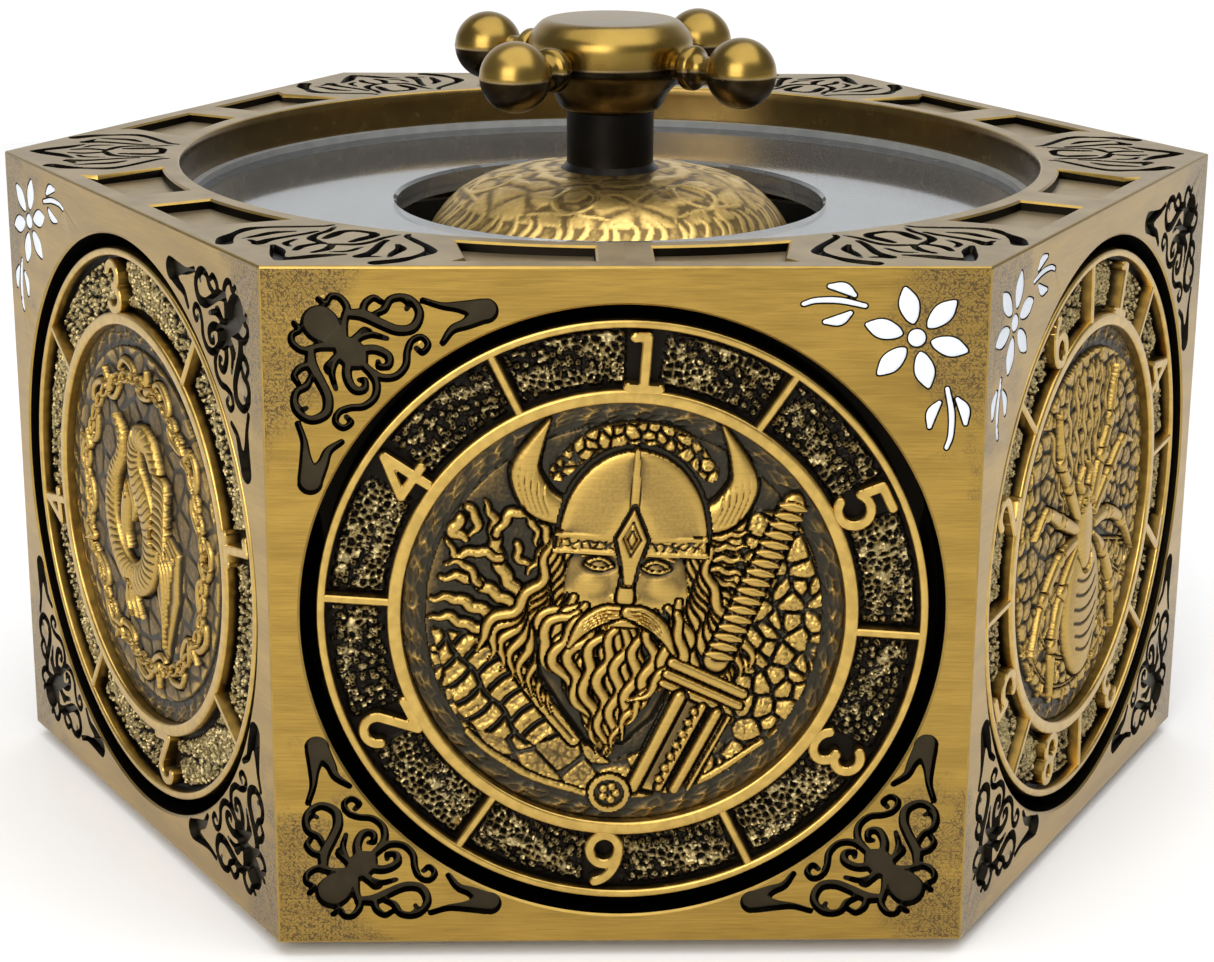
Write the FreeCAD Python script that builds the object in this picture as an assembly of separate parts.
import FreeCAD, Part
import math
import os

# Hexagonal dice spinner. Millimetres, +Z up, front face towards -Y,
# origin on the centre line at the height of the table under the feet.

# Case
HEX_SIDE = 40.0
APOTHEM = HEX_SIDE * math.cos(math.radians(30))
FACES = 6
FACE_TURN = 360.0 / FACES
CASE_HEIGHT = 40.5
FOOT_PROUD = 0.9
BASE_Z = FOOT_PROUD
TOP_Z = BASE_Z + CASE_HEIGHT
EDGE_CHAMFER = 0.15

# Dials: every depth is measured inwards from the face of the case
DIAL_Z = BASE_Z + 20.04
POCKET_R = 18.3
POCKET_DEPTH = 4.4
HUB_POCKET_R = 6.3
HUB_POCKET_DEPTH = 5.7
WALL_DEPTH = 7.0
DIAL_R = 17.4
RIM_INNER_R = 16.9
INNER_RING_R = 13.4
RIM_DEPTH = 0.3
BAND_DEPTH = 1.2
DIVIDER_WIDTH = 0.5
MEDALLION_R = 12.6
MEDALLION_FLOOR = 1.0
MEDALLION_BACK = 2.3
RELIEF_R = 10.8
RELIEF_DEPTH = 0.3
HEAD_ROOM_R = 4.2
HEAD_ROOM_DEPTH = 1.3
DIAL_BACK = 3.9
DIAL_HUB_R = 5.8
DIAL_HUB_BACK = 5.0

# Dials in order around the case from the front: name, sides, and the degrees from the top,
# clockwise, at which the first number rests. Dividers stand halfway between numbers.
DIALS = (
    ("d6", 6, 4.0),
    ("d8", 8, 17.5),
    ("d10", 10, 0.0),
    ("d12", 12, 0.0),
    ("d20", 20, 0.0),
    ("d4", 4, -10.0),
)

# Ball bearings, 6 x 10 x 3, one size throughout
BEARING_BORE_R = 3.0
BEARING_OUTER_R = 5.0
BEARING_WIDTH = 3.0
BALL_R = 0.55
BALL_COUNT = 9
BALL_PITCH_R = (BEARING_BORE_R + BEARING_OUTER_R) / 2
RACE_WALL = 0.6
RACE_CLEARANCE = 0.02
CAGE_WALL = 0.5
CAGE_WIDTH = 1.8

# Stud and screw that carry each dial's bearing
STUD_SHOULDER_R = 3.8
STUD_SHOULDER_DEPTH = MEDALLION_BACK + BEARING_WIDTH
STUD_END_DEPTH = 2.5
DIAL_SCREW_HEAD_R = 3.5
DIAL_SCREW_HEAD_TOP = 1.5
DIAL_SCREW_R = 1.2
DIAL_SCREW_END = 6.2
DIAL_SCREW_HOLE_END = 6.4
HEX_KEY_R = 1.2
HEX_KEY_DEPTH = 0.5

# Bowl and cover
BOWL_R = 28.16
BOWL_LOWER_R = 27.0
COVER_TOP = BASE_Z + 37.56
COVER_THICKNESS = 1.5
COVER_R = 28.1
COVER_HOLE_R = 14.2
COVER_EDGE = 0.2
RING_HEIGHT = 0.45
RING_WIDTH = 0.55
BOWL_FLOOR_TOP = BASE_Z + 28.0
BOWL_FLOOR_THICKNESS = 2.0
BEARING_BOSS_R = 8.0
BEARING_BOSS_DROP = 6.0
BOSS_CLEAR_R = 4.4

# Deck recesses, two to a side: straight along the side, concentric with the bowl inside,
# and with a shallow notch in the outer end
RECESS_ARC_R = 29.35
RECESS_X0 = 1.5
RECESS_X1 = 9.6
RECESS_NOTCH = (8.9, 32.5)
RECESS_OUT_Y = 33.4
RECESS_DEPTH = 0.6

# Underside
PLATE_SIDE = 33.0
PLATE_GAP = 0.1
PLATE_THICKNESS = 2.0
SCREW_CIRCLE_R = 27.0
SCREW_POST_R = 3.4
SCREW_R = 1.25
SCREW_LENGTH = 9.0
SCREW_HEAD_R = 2.4
SCREW_HEAD_DEPTH = 1.3
FOOT_R = 3.0
FOOT_CIRCLE_R = 20.0
FOOT_SEAT_DEPTH = 0.6

# Rotor
POST_R = 2.88
POST_FOOT_R = 3.2
POST_FOOT_HEIGHT = 0.4
POST_TOP_Z = BASE_Z + 43.4
POST_TENON_R = 1.8
POST_TENON_TOP = BASE_Z + 47.4
SPINDLE_SHOULDER_R = 3.55
SHOULDER_HEIGHT = 0.4
WHEEL_R = 26.4
WHEEL_BOTTOM = BOWL_FLOOR_TOP + SHOULDER_HEIGHT
WHEEL_THICKNESS = 2.0
WHEEL_POCKETS = 10
WHEEL_FRET_RING_R = 20.5
WHEEL_FRET_WIDTH = 0.6
WHEEL_FRET_HEIGHT = 1.6
WHEEL_RIM_WIDTH = 0.8
WHEEL_RIM_HEIGHT = 2.4
DOME_BASE_R = 12.4
DOME_SKIRT_HEIGHT = 1.6
DOME_HAUNCH = (10.4, COVER_TOP)
DOME_SHOULDER = (8.0, BASE_Z + 38.82)
DOME_MIDDLE = (5.6, BASE_Z + 39.3)
DOME_TOP_Z = BASE_Z + 39.5
SPINDLE_SCREW_R = 1.25
SPINDLE_SCREW_LENGTH = 7.0
SPINDLE_SCREW_HEAD_R = 2.6
SPINDLE_SCREW_HEAD = 1.4
WASHER_R = 3.5
WASHER_THICKNESS = 0.6
SCREW_HOLE_SPARE = 0.5

# Turret
TURRET_R = 5.41
TURRET_TOP_R = 4.37
TURRET_NECK_R = 3.3
TURRET_THROAT = (3.8, POST_TOP_Z + 1.2)
TURRET_BELLY_LOW = BASE_Z + 46.1
TURRET_BELLY_HIGH = BASE_Z + 48.0
TURRET_TOP_Z = BASE_Z + 49.35
ARM_COUNT = 4
ARM_FIRST = -37.4
ARM_Z = BASE_Z + 46.7
ARM_BALL_R = 2.28
ARM_CIRCLE_R = 10.25
ARM_R = 0.85
ARM_COLLAR_R = 1.45
ARM_COLLAR_X = 6.1
ARM_COLLAR_WIDTH = 0.9

CENTRE = FreeCAD.Vector(0, 0, 0)
UP = FreeCAD.Vector(0, 0, 1)
INWARD = FreeCAD.Vector(0, 1, 0)


def at(x, y, z):
    return FreeCAD.Vector(x, y, z)


def cylinder(r, z0, z1, x=0.0, y=0.0):
    return Part.makeCylinder(r, z1 - z0, at(x, y, z0), UP)


def turned(profile):
    """Solid of revolution about Z from (radius, z) corners."""
    points = [at(r, 0, z) for r, z in profile]
    wire = Part.makePolygon(points + points[:1])
    return Part.Face(wire).revolve(CENTRE, UP, 360)


def hexagon(side, z0, z1):
    corners = [polar(side, FACE_TURN * i, z0) for i in range(FACES)]
    wire = Part.makePolygon(corners + corners[:1])
    return Part.Face(wire).extrude(at(0, 0, z1 - z0))


def polar(r, degrees, z=0.0):
    a = math.radians(degrees)
    return at(r * math.cos(a), r * math.sin(a), z)


def spun(shape, degrees):
    copy = shape.copy()
    copy.rotate(CENTRE, UP, degrees)
    return copy


def around(shape, count, first=0.0):
    """Copies of a shape, evenly spaced about the centre line."""
    return [spun(shape, first + 360.0 * i / count) for i in range(count)]


def bored(r, d0, d1):
    """Cylinder on the front dial's axis, between two depths from the front face."""
    return Part.makeCylinder(r, d1 - d0, at(0, d0 - APOTHEM, DIAL_Z), INWARD)


def on_dial_axis(shape, depth):
    """Moves a shape made about Z onto the front dial's axis, its top at a depth from the face."""
    copy = shape.copy()
    copy.rotate(CENTRE, at(1, 0, 0), 90)
    copy.translate(at(0, depth - APOTHEM, DIAL_Z))
    return copy


# --- case -------------------------------------------------------------------------------------

def case_blank():
    blank = hexagon(HEX_SIDE, BASE_Z, TOP_Z)
    return blank.makeChamfer(EDGE_CHAMFER, blank.Edges)


def dial_pocket():
    pocket = bored(POCKET_R, 0.0, POCKET_DEPTH)
    return pocket.fuse(bored(HUB_POCKET_R, POCKET_DEPTH, HUB_POCKET_DEPTH))


def dial_stud():
    shoulder = bored(STUD_SHOULDER_R, STUD_SHOULDER_DEPTH, WALL_DEPTH)
    journal = bored(BEARING_BORE_R, STUD_END_DEPTH, WALL_DEPTH)
    return shoulder.fuse(journal)


def deck_recess(hand):
    """One recess of the front side; hand is 1 for the right one and -1 for the left one."""
    floor = TOP_Z - RECESS_DEPTH

    def corner(x, y):
        return at(hand * x, -y, floor)

    def on_arc(x):
        return corner(x, math.sqrt(RECESS_ARC_R ** 2 - x ** 2))

    arc = Part.Arc(on_arc(RECESS_X0), on_arc((RECESS_X0 + RECESS_X1) / 2), on_arc(RECESS_X1)).toShape()
    rest = Part.makePolygon([
        on_arc(RECESS_X1),
        corner(*RECESS_NOTCH),
        corner(RECESS_X1, RECESS_OUT_Y),
        corner(RECESS_X0, RECESS_OUT_Y),
        on_arc(RECESS_X0),
    ])
    return Part.Face(Part.Wire([arc] + rest.Edges)).extrude(at(0, 0, RECESS_DEPTH))


def deck_recesses():
    return around(deck_recess(1), FACES) + around(deck_recess(-1), FACES)


def case():
    floor_bottom = BOWL_FLOOR_TOP - BOWL_FLOOR_THICKNESS
    boss_bottom = BOWL_FLOOR_TOP - BEARING_BOSS_DROP
    cavity_side = (APOTHEM - WALL_DEPTH) / math.cos(math.radians(30))
    cavity = hexagon(cavity_side, BASE_Z, floor_bottom)
    cavity = cavity.cut(cylinder(BEARING_BOSS_R, boss_bottom, floor_bottom))
    post = cylinder(SCREW_POST_R, BASE_Z + PLATE_THICKNESS, floor_bottom, SCREW_CIRCLE_R)
    cavity = cavity.cut(around(post, FACES))
    plate_seat = hexagon(PLATE_SIDE + PLATE_GAP, BASE_Z, BASE_Z + PLATE_THICKNESS)
    bowl = cylinder(BOWL_R, COVER_TOP - COVER_THICKNESS, TOP_Z)
    lower_bowl = cylinder(BOWL_LOWER_R, BOWL_FLOOR_TOP, COVER_TOP)
    bearing_seat = cylinder(BEARING_OUTER_R, BOWL_FLOOR_TOP - BEARING_WIDTH, BOWL_FLOOR_TOP)
    boss_bore = cylinder(BOSS_CLEAR_R, boss_bottom, BOWL_FLOOR_TOP)
    screw_hole = cylinder(SCREW_R, BASE_Z, BASE_Z + SCREW_LENGTH + SCREW_HOLE_SPARE, SCREW_CIRCLE_R)
    stud_hole = bored(DIAL_SCREW_R, 0.0, DIAL_SCREW_HOLE_END)

    body = case_blank()
    body = body.cut([cavity, plate_seat, bowl, lower_bowl, bearing_seat, boss_bore])
    body = body.cut(around(dial_pocket(), FACES))
    body = body.fuse(around(dial_stud(), FACES))
    body = body.cut(around(stud_hole, FACES) + around(screw_hole, FACES) + deck_recesses())
    return body.removeSplitter()


# --- underside --------------------------------------------------------------------------------

def foot_places():
    return [polar(FOOT_CIRCLE_R, FACE_TURN * (i + 0.5)) for i in range(FACES)]


def screw_head(z0, x):
    return Part.makeCone(SCREW_HEAD_R, SCREW_R, SCREW_HEAD_DEPTH, at(x, 0, z0), UP)


def base_plate():
    plate = hexagon(PLATE_SIDE, BASE_Z, BASE_Z + PLATE_THICKNESS)
    seats = [cylinder(FOOT_R, BASE_Z, BASE_Z + FOOT_SEAT_DEPTH, p.x, p.y) for p in foot_places()]
    hole = cylinder(SCREW_R, BASE_Z, BASE_Z + PLATE_THICKNESS, SCREW_CIRCLE_R)
    hole = hole.fuse(screw_head(BASE_Z, SCREW_CIRCLE_R))
    return plate.cut(seats + around(hole, FACES))


def base_screws():
    shank = cylinder(SCREW_R, BASE_Z, BASE_Z + SCREW_LENGTH, SCREW_CIRCLE_R)
    screw = shank.fuse(screw_head(BASE_Z, SCREW_CIRCLE_R))
    drive = hexagon(HEX_KEY_R, BASE_Z, BASE_Z + HEX_KEY_DEPTH)
    drive.translate(at(SCREW_CIRCLE_R, 0, 0))
    return Part.makeCompound(around(screw.cut(drive), FACES))


def base_feet():
    top = BASE_Z + FOOT_SEAT_DEPTH
    return Part.makeCompound([cylinder(FOOT_R, 0.0, top, p.x, p.y) for p in foot_places()])


# --- bearings, made about Z with the top face at z = 0 ----------------------------------------

def race_groove():
    return Part.makeTorus(BALL_PITCH_R, BALL_R + RACE_CLEARANCE, at(0, 0, -BEARING_WIDTH / 2), UP)


def race(r0, r1):
    ring = cylinder(r1, -BEARING_WIDTH, 0.0).cut(cylinder(r0, -BEARING_WIDTH, 0.0))
    return ring.cut(race_groove())


def inner_race():
    return race(BEARING_BORE_R, BEARING_BORE_R + RACE_WALL)


def outer_race():
    return race(BEARING_OUTER_R - RACE_WALL, BEARING_OUTER_R)


def ball_set():
    ball = Part.makeSphere(BALL_R, at(BALL_PITCH_R, 0, -BEARING_WIDTH / 2))
    return Part.makeCompound(around(ball, BALL_COUNT))


def cage():
    z0 = -BEARING_WIDTH / 2 - CAGE_WIDTH / 2
    z1 = z0 + CAGE_WIDTH
    ring = cylinder(BALL_PITCH_R + CAGE_WALL / 2, z0, z1).cut(cylinder(BALL_PITCH_R - CAGE_WALL / 2, z0, z1))
    start = at(BEARING_BORE_R, 0, -BEARING_WIDTH / 2)
    length = BEARING_OUTER_R - BEARING_BORE_R
    pocket = Part.makeCylinder(BALL_R + RACE_CLEARANCE, length, start, at(1, 0, 0))
    return ring.cut(around(pocket, BALL_COUNT))


# --- dials, made on the front face -------------------------------------------------------------

def divider(turn):
    """Raised bar across the number band, with both ends inside the rings."""
    start = (MEDALLION_R + INNER_RING_R) / 2
    length = (RIM_INNER_R + DIAL_R) / 2 - start
    corner = at(-DIVIDER_WIDTH / 2, RIM_DEPTH - APOTHEM, DIAL_Z + start)
    rib = Part.makeBox(DIVIDER_WIDTH, BAND_DEPTH - RIM_DEPTH, length, corner)
    rib.rotate(at(0, 0, DIAL_Z), INWARD, turn)
    return rib


def dial(sides, first_number):
    body = bored(DIAL_R, RIM_DEPTH, DIAL_BACK)
    band = bored(RIM_INNER_R, RIM_DEPTH, BAND_DEPTH).cut(bored(INNER_RING_R, RIM_DEPTH, BAND_DEPTH))
    body = body.cut(band)
    body = body.fuse([divider(first_number + 360.0 * (i + 0.5) / sides) for i in range(sides)])
    body = body.fuse(bored(DIAL_HUB_R, DIAL_BACK, DIAL_HUB_BACK))
    seat = bored(MEDALLION_R, RIM_DEPTH, MEDALLION_BACK)
    bore = bored(BEARING_OUTER_R, MEDALLION_BACK, DIAL_HUB_BACK)
    return body.cut([seat, bore]).removeSplitter()


def medallion():
    disc = bored(MEDALLION_R, MEDALLION_FLOOR, MEDALLION_BACK)
    relief = bored(RELIEF_R, RELIEF_DEPTH, MEDALLION_FLOOR)
    head_room = bored(HEAD_ROOM_R, HEAD_ROOM_DEPTH, MEDALLION_BACK)
    return disc.fuse(relief).cut(head_room).removeSplitter()


def dial_screws():
    head = bored(DIAL_SCREW_HEAD_R, DIAL_SCREW_HEAD_TOP, MEDALLION_BACK)
    screw = head.fuse(bored(DIAL_SCREW_R, MEDALLION_BACK, DIAL_SCREW_END))
    drive = on_dial_axis(hexagon(HEX_KEY_R, -HEX_KEY_DEPTH, 0.0), DIAL_SCREW_HEAD_TOP)
    return Part.makeCompound(around(screw.cut(drive), FACES))


def dial_inner_races():
    return Part.makeCompound(around(on_dial_axis(inner_race(), MEDALLION_BACK), FACES))


# --- bowl --------------------------------------------------------------------------------------

def cover_window():
    bottom = COVER_TOP - COVER_THICKNESS
    return turned([
        (COVER_HOLE_R, bottom),
        (COVER_R, bottom),
        (COVER_R, COVER_TOP),
        (COVER_HOLE_R + COVER_EDGE, COVER_TOP),
        (COVER_HOLE_R, COVER_TOP - COVER_EDGE),
    ])


def window_ring():
    ring = cylinder(BOWL_R, COVER_TOP, COVER_TOP + RING_HEIGHT)
    return ring.cut(cylinder(BOWL_R - RING_WIDTH, COVER_TOP, COVER_TOP + RING_HEIGHT))


def number_wheel():
    top = WHEEL_BOTTOM + WHEEL_THICKNESS
    wheel = cylinder(WHEEL_R, WHEEL_BOTTOM, top)
    rim = cylinder(WHEEL_R, top, top + WHEEL_RIM_HEIGHT)
    rim = rim.cut(cylinder(WHEEL_R - WHEEL_RIM_WIDTH, top, top + WHEEL_RIM_HEIGHT))
    fret_top = top + WHEEL_FRET_HEIGHT
    fret_ring = cylinder(WHEEL_FRET_RING_R, top, fret_top)
    fret_ring = fret_ring.cut(cylinder(WHEEL_FRET_RING_R - WHEEL_FRET_WIDTH, top, fret_top))
    fret_start = DOME_BASE_R - WHEEL_FRET_WIDTH
    fret_length = WHEEL_FRET_RING_R - WHEEL_FRET_WIDTH / 2 - fret_start
    corner = at(fret_start, -WHEEL_FRET_WIDTH / 2, top)
    fret = Part.makeBox(fret_length, WHEEL_FRET_WIDTH, WHEEL_FRET_HEIGHT, corner)
    hub = cylinder(DOME_BASE_R, top, dome_seat_z())
    wheel = wheel.fuse([rim, fret_ring, hub] + around(fret, WHEEL_POCKETS))
    return wheel.cut(cylinder(BEARING_BORE_R, WHEEL_BOTTOM, dome_seat_z())).removeSplitter()


def dome_seat_z():
    return WHEEL_BOTTOM + WHEEL_THICKNESS + WHEEL_RIM_HEIGHT


def dome_hub():
    """Dome: a low skirt, a rounded shoulder through three heights, and a flatter crown."""
    seat = dome_seat_z()
    start = at(DOME_BASE_R, 0, seat + DOME_SKIRT_HEIGHT)
    haunch = at(DOME_HAUNCH[0], 0, DOME_HAUNCH[1])
    shoulder = at(DOME_SHOULDER[0], 0, DOME_SHOULDER[1])
    middle = at(DOME_MIDDLE[0], 0, DOME_MIDDLE[1])
    crown = at(BEARING_BORE_R, 0, DOME_TOP_Z)
    edges = [
        Part.LineSegment(at(BEARING_BORE_R, 0, seat), at(DOME_BASE_R, 0, seat)).toShape(),
        Part.LineSegment(at(DOME_BASE_R, 0, seat), start).toShape(),
        Part.Arc(start, haunch, shoulder).toShape(),
        Part.Arc(shoulder, middle, crown).toShape(),
        Part.LineSegment(crown, at(BEARING_BORE_R, 0, seat)).toShape(),
    ]
    return Part.Face(Part.Wire(edges)).revolve(CENTRE, UP, 360)


# --- rotor -------------------------------------------------------------------------------------

def spindle():
    end = BOWL_FLOOR_TOP - BEARING_WIDTH
    profile = [
        (0, end),
        (BEARING_BORE_R, end),
        (BEARING_BORE_R, DOME_TOP_Z),
        (POST_FOOT_R, DOME_TOP_Z),
        (POST_R, DOME_TOP_Z + POST_FOOT_HEIGHT),
        (POST_R, POST_TOP_Z),
        (POST_TENON_R, POST_TOP_Z),
        (POST_TENON_R, POST_TENON_TOP),
        (0, POST_TENON_TOP),
    ]
    hole = cylinder(SPINDLE_SCREW_R, end, end + SPINDLE_SCREW_LENGTH)
    return turned(profile).cut(hole)


def spindle_spacer():
    top = WHEEL_BOTTOM
    ring = cylinder(SPINDLE_SHOULDER_R, BOWL_FLOOR_TOP, top)
    return ring.cut(cylinder(BEARING_BORE_R, BOWL_FLOOR_TOP, top))


def spindle_washer():
    top = BOWL_FLOOR_TOP - BEARING_WIDTH
    return cylinder(WASHER_R, top - WASHER_THICKNESS, top).cut(
        cylinder(SPINDLE_SCREW_R, top - WASHER_THICKNESS, top))


def spindle_screw():
    seat = BOWL_FLOOR_TOP - BEARING_WIDTH - WASHER_THICKNESS
    top = seat + WASHER_THICKNESS + SPINDLE_SCREW_LENGTH - SCREW_HOLE_SPARE
    shank = cylinder(SPINDLE_SCREW_R, seat, top)
    head = cylinder(SPINDLE_SCREW_HEAD_R, seat - SPINDLE_SCREW_HEAD, seat)
    drive = hexagon(HEX_KEY_R, seat - SPINDLE_SCREW_HEAD, seat - SPINDLE_SCREW_HEAD + HEX_KEY_DEPTH)
    return shank.fuse(head).cut(drive)


def turret_hub():
    return turned([
        (0, POST_TOP_Z),
        (TURRET_NECK_R, POST_TOP_Z),
        TURRET_THROAT,
        (TURRET_R, TURRET_BELLY_LOW),
        (TURRET_R, TURRET_BELLY_HIGH),
        (TURRET_TOP_R, TURRET_TOP_Z),
        (0, TURRET_TOP_Z),
    ])


def turret_arm():
    along = at(1, 0, 0)
    arm = Part.makeCylinder(ARM_R, ARM_CIRCLE_R, at(0, 0, ARM_Z), along)
    collar = Part.makeCylinder(ARM_COLLAR_R, ARM_COLLAR_WIDTH, at(ARM_COLLAR_X, 0, ARM_Z), along)
    tip = Part.makeSphere(ARM_BALL_R, at(ARM_CIRCLE_R, 0, ARM_Z))
    return arm.fuse([collar, tip])


def turret():
    socket = cylinder(POST_TENON_R, POST_TOP_Z, POST_TENON_TOP)
    return turret_hub().fuse(around(turret_arm(), ARM_COUNT, ARM_FIRST)).cut(socket)


# --- files -------------------------------------------------------------------------------------

def write(node, shape):
    if not shape.isValid():
        raise ValueError(node + " is not a valid shape")
    shape.exportStep("parts/" + node + ".step")
    print(node, len(shape.Solids), "solid(s)", round(shape.Volume, 1), "mm3")


def write_root():
    write("case", case())
    write("base_plate", base_plate())
    write("base_screws", base_screws())
    write("base_feet", base_feet())
    write("cover_window", cover_window())
    write("window_ring", window_ring())
    write("dial_screws", dial_screws())
    write("dial_bearing_inner_races", dial_inner_races())


def write_dials():
    for i, (name, sides, first_number) in enumerate(DIALS):
        turn = FACE_TURN * i
        write("dial_" + name, spun(dial(sides, first_number), turn))
        write("medallion_" + name, spun(medallion(), turn))
        write("bearing_outer_" + name, spun(on_dial_axis(outer_race(), MEDALLION_BACK), turn))
        write("bearing_balls_" + name, spun(on_dial_axis(ball_set(), MEDALLION_BACK), turn))
        write("bearing_cage_" + name, spun(on_dial_axis(cage(), MEDALLION_BACK), turn))


def write_rotor():
    lift = at(0, 0, BOWL_FLOOR_TOP)
    write("turret", turret())
    write("spindle", spindle())
    write("dome_hub", dome_hub())
    write("number_wheel", number_wheel())
    write("spindle_spacer", spindle_spacer())
    write("spindle_washer", spindle_washer())
    write("spindle_screw", spindle_screw())
    write("bearing_outer_spindle", outer_race().translated(lift))
    write("bearing_inner_spindle", inner_race().translated(lift))
    write("bearing_balls_spindle", ball_set().translated(lift))
    write("bearing_cage_spindle", cage().translated(lift))


os.makedirs("parts", exist_ok=True)
write_root()
write_dials()
write_rotor()
